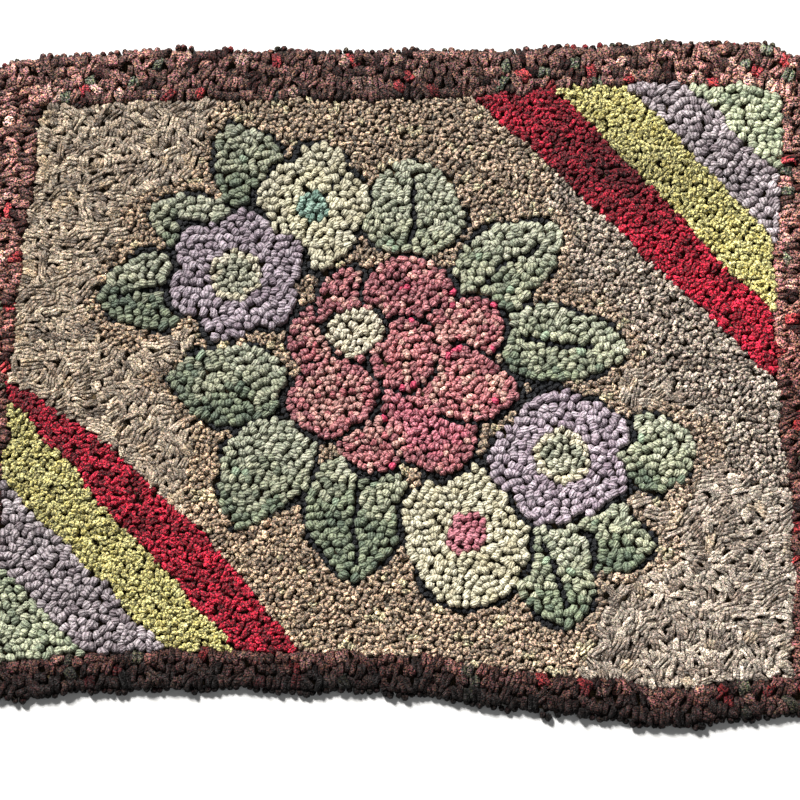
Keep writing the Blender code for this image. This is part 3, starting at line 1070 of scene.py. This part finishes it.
# %% Hook the rim
RIM_LENGTH, RIM_WIDTH, RIM_REACH = 0.0078, 0.0062, 0.0072
RIM_RINGS, RIM_SIDES = 5, 7
STRAYS, STRAYS_TOGETHER = 24, 3
pulled_in = 0.0022 * ripple(x, y, 0.035, 94)
x, y = x - pulled_in * np.cos(outward), y - pulled_in * np.sin(outward)
caught = np.repeat(hand.integers(0, len(x), STRAYS // STRAYS_TOGETHER), STRAYS_TOGETHER)
total = len(x) + STRAYS
is_stray = np.arange(total) >= len(x)
x, y, outward = (np.concatenate((values, values[caught])) for values in (x, y, outward))
lift = np.where(is_stray, hand.uniform(0.3, 1.4, total), hand.uniform(0.30, 0.62, total))
outward = outward + hand.normal(0.0, 0.22, total)
ups = points_at(np.cos(outward), np.sin(outward), lift)
ways = points_at(-np.sin(outward), np.cos(outward), 0.4 * hand.normal(0.0, 1.0, total))
length = np.where(is_stray, 0.0050, RIM_LENGTH * hand.uniform(0.85, 1.15, total))
width = np.where(is_stray, 0.0030, RIM_WIDTH * hand.uniform(0.85, 1.10, total))
out = np.where(is_stray, hand.uniform(0.007, 0.010, total), RIM_REACH * hand.uniform(0.75, 1.20, total))
spin = hand.uniform(0.0, 2.0 * math.pi, (total, 2))
surface = loop_surface(length, width, out, RIM_RINGS, RIM_SIDES, np.zeros(total), spin)
points = stand(surface, points_at(x, y, FOOT), ups, ways)
# The rim loops take the border's painted shade along the near edge and painted light along the far one.
rim_dye = painted_border_shading(x, y, 0.0)[:, None] * rim_yarns(total)
rim_piece = joined_mesh("rim_loops", points, loop_faces(RIM_RINGS, RIM_SIDES), rim_dye)
rim_piece.data.materials.append(wools["border"])
pieces["rim"] = rim_piece
print(rim_piece.name, total - STRAYS, "loops and", STRAYS, "strays")

# %% [markdown]
# ## The foundation
#
# Under the pile lies the burlap, a thin flat cloth of coarse jute. It is a sheet with a real thickness:
# a profile that runs out over its top, down its edge and back under it, swept round the rim. The sheet
# stops a little inside the rim, because the loops stand out past it.

# %% Weave the foundation
CLOTH_TOP, CLOTH_UNDER = 0.0016, 0.0004
CLOTH_SHORT = 0.0050  # how far the cloth's edge lies inside the pile's
CLOTH_ROWS = 20  # rows of the profile on each side of the cloth


def swept_round_rim(shares, heights):
    """Points of a closed sheet: for each row of the profile, the rim drawn in to that share of its
    distance from the middle, at that height. The first and last rows are single points in the middle."""
    outline = rim * (1.0 - CLOTH_SHORT / np.hypot(rim[:, 0], rim[:, 1]))[:, None]
    flat = shares[:, None, None] * outline[None, :, :]
    rise = np.broadcast_to(heights[:, None, None], (*flat.shape[:2], 1))
    rows = np.concatenate((flat, rise), axis=2)
    return np.concatenate((rows[0, :1], rows[1:-1].reshape(-1, 3), rows[-1, :1]))


out = np.sin(np.linspace(0.0, 0.5 * math.pi, CLOTH_ROWS))
heights = np.repeat((CLOTH_TOP, CLOTH_UNDER), CLOTH_ROWS)
cloth_points = swept_round_rim(np.concatenate((out, out[::-1])), heights)
corners, counts, _ = loop_faces(2 * CLOTH_ROWS - 2, len(rim))
cloth_mesh = bpy.data.meshes.new("burlap_foundation")
cloth_faces = [face.tolist() for face in np.split(corners, np.cumsum(counts)[:-1])]
cloth_mesh.from_pydata(cloth_points.tolist(), [], cloth_faces)
cloth_mesh.update()
foundation = new_object("burlap_foundation", cloth_mesh)
print("foundation has", len(cloth_faces), "faces")

# %% [markdown]
# ## Burlap
#
# Burlap is a plain weave of jute: each thread passes over one and under the next. The height of a thread
# is an arch across it, times a wave along it that is half a turn on in every second thread. The higher of
# the two sets of threads shows. The same height paints shade into the holes between threads and drives the
# bump.

# %% Define the burlap
def burlap(thread):
    """Plain weave of threads that many metres apart, on the object's own coordinates."""
    material, tree, shader = new_material("burlap_weave")
    coordinates = node(tree, "ShaderNodeTexCoord", {})["Object"]
    x, y, z = node(tree, "ShaderNodeSeparateXYZ", {0: coordinates})
    slub = noise(tree, coordinates, 260.0, 3.0)[0]
    fade = noise(tree, coordinates, 9.0, 2.0)[0]
    pushed = times(tree, slub, 0.5)
    u = plus(tree, maths(tree, "DIVIDE", x, thread), pushed)
    v = plus(tree, maths(tree, "DIVIDE", y, thread), pushed)

    def threads(across, along, start):
        """Height of one set of threads: the arch times the wave, with a start for the wave."""
        arch = maths(tree, "ABSOLUTE", maths(tree, "SINE", times(tree, across, math.pi)))
        step = plus(tree, along, maths(tree, "FLOOR", across))
        wave = maths(tree, "SINE", plus(tree, times(tree, step, math.pi), start))
        return times(tree, arch, maths(tree, "MULTIPLY_ADD", wave, 0.35, 0.65))

    weave = maths(tree, "MAXIMUM", threads(u, v, 0.0), threads(v, u, math.pi))
    tone = times(
        tree,
        # Painted shade in the holes between the threads.
        span(tree, weave, 0.2, 0.9, 0.35, 1.05),
        span(tree, fade, 0.3, 0.7, 0.8, 1.15),
        span(tree, slub, 0.3, 0.7, 0.85, 1.12),
        span(tree, z, CLOTH_UNDER, CLOTH_TOP, 1.0, 0.22),  # the upper side is in the pile's shade
    )
    feed(tree, shader, {
        "Base Color": vectors(tree, "SCALE", {0: linear((196, 164, 116)), "Scale": tone}),
        "Roughness": span(tree, slub, 0.3, 0.7, 0.8, 0.95),
        "Normal": relief_of(tree, weave, 0.0004),
        "Sheen Weight": 0.10,
        "Specular IOR Level": 0.25,
    })
    return material


THREAD = 0.0018  # from one thread of the burlap to the next
foundation.data.materials.append(burlap(THREAD))
print("burlap threads are", 1000 * THREAD, "mm apart")

# %% [markdown]
# ## The back
#
# On the back the yarn runs flat from one loop to the next, so the whole pattern shows again in low
# stitches, with a little burlap between them. One stitch under each loop is enough: a flat spindle of two
# rings of three points, laid on the ground along the loop's bearing.

# %% Stitch the back
STITCH_FLAT = 0.0007  # thickness of a stitch, most of it pressed into the cloth


def stitch_surface(length, width):
    """Points of flat spindles: a ring of three points a fifth of the length from each end, between two end
    points. Each ring is an ellipse, wide across and as thick as a stitch."""
    a = math.pi * (0.5 + 2.0 * np.arange(3) / 3.0)
    along = 0.5 * length[:, None, None] * np.array([-0.62, 0.62])[None, :, None]
    across = 0.5 * width[:, None, None] * np.cos(a)[None, None, :]
    up = 0.5 * STITCH_FLAT * np.sin(a)[None, None, :]
    rings = np.stack(np.broadcast_arrays(along, across, up), axis=-1).reshape(len(length), -1, 3)
    return with_ends(rings, 0.5 * length)


surface = stitch_surface(1.10 * loop_length, 0.80 * loop_width)
turned = loop_way + hand.normal(0.0, 0.20, loops)
ways = points_at(np.cos(turned), np.sin(turned), 0.0)
middles = points_at(loop_x, loop_y, 0.55 * STITCH_FLAT)
points = stand(surface, middles, np.tile((0.0, 0.0, 1.0), (loops, 1)), ways, lowest=0.0)
template = loop_faces(2, 3)
stitches = joined_mesh("back_stitches", points, template, loop_dye)
NO_PILE = 0.00001  # the back has no depths to darken, so its wool is told of a pile with next to no height
stitch_wool = wool("stitch_wool", 3, 0.5, 0.75, 0.2, 0.1, 700.0, 2.5, 0.0, 0.3, 0.03, NO_PILE)
stitches.data.materials.append(stitch_wool)
pieces["back"] = stitches
print(stitches.name, loops, "stitches,", loops * int((template[1] - 2).sum()), "triangles")

# %% [markdown]
#
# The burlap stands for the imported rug, and the yarn goes with it. Nothing here moves, so every piece rides
# on the root body.

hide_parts(NODE)
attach(foundation, "root")
for piece in pieces.values():
    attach(piece, "root")

# %% [markdown]
# ## Light
#
# Pile shows its shape only when the light comes low across it. So the key light stands beyond the far
# left corner, a third of the way up, and a broad soft light overhead keeps the shadows between the loops
# from going black.

# %% Add the lights
def area_light(name, place, size, power, colour):
    """A square area light that looks at the middle of the rug."""
    lamp = bpy.data.lights.new(name, "AREA")
    lamp.size, lamp.energy, lamp.color = size, power, colour
    made = new_object(name, lamp)
    made.location = place
    made.rotation_euler = (-made.location).to_track_quat("-Z", "Y").to_euler()


area_light("key", (-2.75, 4.40, 4.00), 1.5, 980.0, (1.0, 0.985, 0.96))
area_light("fill", (0.8, -1.2, 2.4), 2.2, 5.0, (0.96, 0.98, 1.0))
world = bpy.data.worlds.new("studio")
world.use_nodes = True
background = world.node_tree.nodes["Background"]
feed(world.node_tree, background, {"Color": (1.0, 1.0, 1.0, 1.0), "Strength": 0.12})
bpy.context.scene.world = world
bpy.context.scene.view_settings.view_transform = "Standard"
print("two lamps and a dim white sky")

# %% [markdown]
# ## Floor and camera
#
# The rug lies on a plain pale floor. The camera looks down on it steeply, from above the near edge, with a
# long lens, so that the far edge comes out nearly as wide as the near one.

# %% Lay the floor
FLOOR_HALF, FLOOR_HEIGHT = 6.0, -0.0003  # half the floor's width, and a hair of room under the rug
floor_mesh = bpy.data.meshes.new("floor")
signs = ((-1, -1), (1, -1), (1, 1), (-1, 1))
floor_corners = [(FLOOR_HALF * side, FLOOR_HALF * end, FLOOR_HEIGHT) for side, end in signs]
floor_mesh.from_pydata(floor_corners, [], [(0, 1, 2, 3)])
floor = new_object("floor", floor_mesh)
floor_material, floor_tree, floor_shader = new_material("floor_paint")
feed(floor_tree, floor_shader, {"Base Color": (0.88, 0.88, 0.87, 1.0), "Roughness": 0.9})
floor.data.materials.append(floor_material)
print("floor is", 2.0 * FLOOR_HALF, "m wide")

# %% Set up the camera
ELEVATION, DISTANCE = math.radians(78.0), 3.0
aim = Vector((0.0, -0.0235, 0.010))
lens = bpy.data.cameras.new("camera")
lens.lens = 145.0
camera = new_object("camera", lens)
camera.location = aim + DISTANCE * Vector((0.0, -math.cos(ELEVATION), math.sin(ELEVATION)))
camera.rotation_euler = (aim - camera.location).to_track_quat("-Z", "Y").to_euler()
bpy.context.scene.camera = camera
print("camera stands", DISTANCE, "m away")
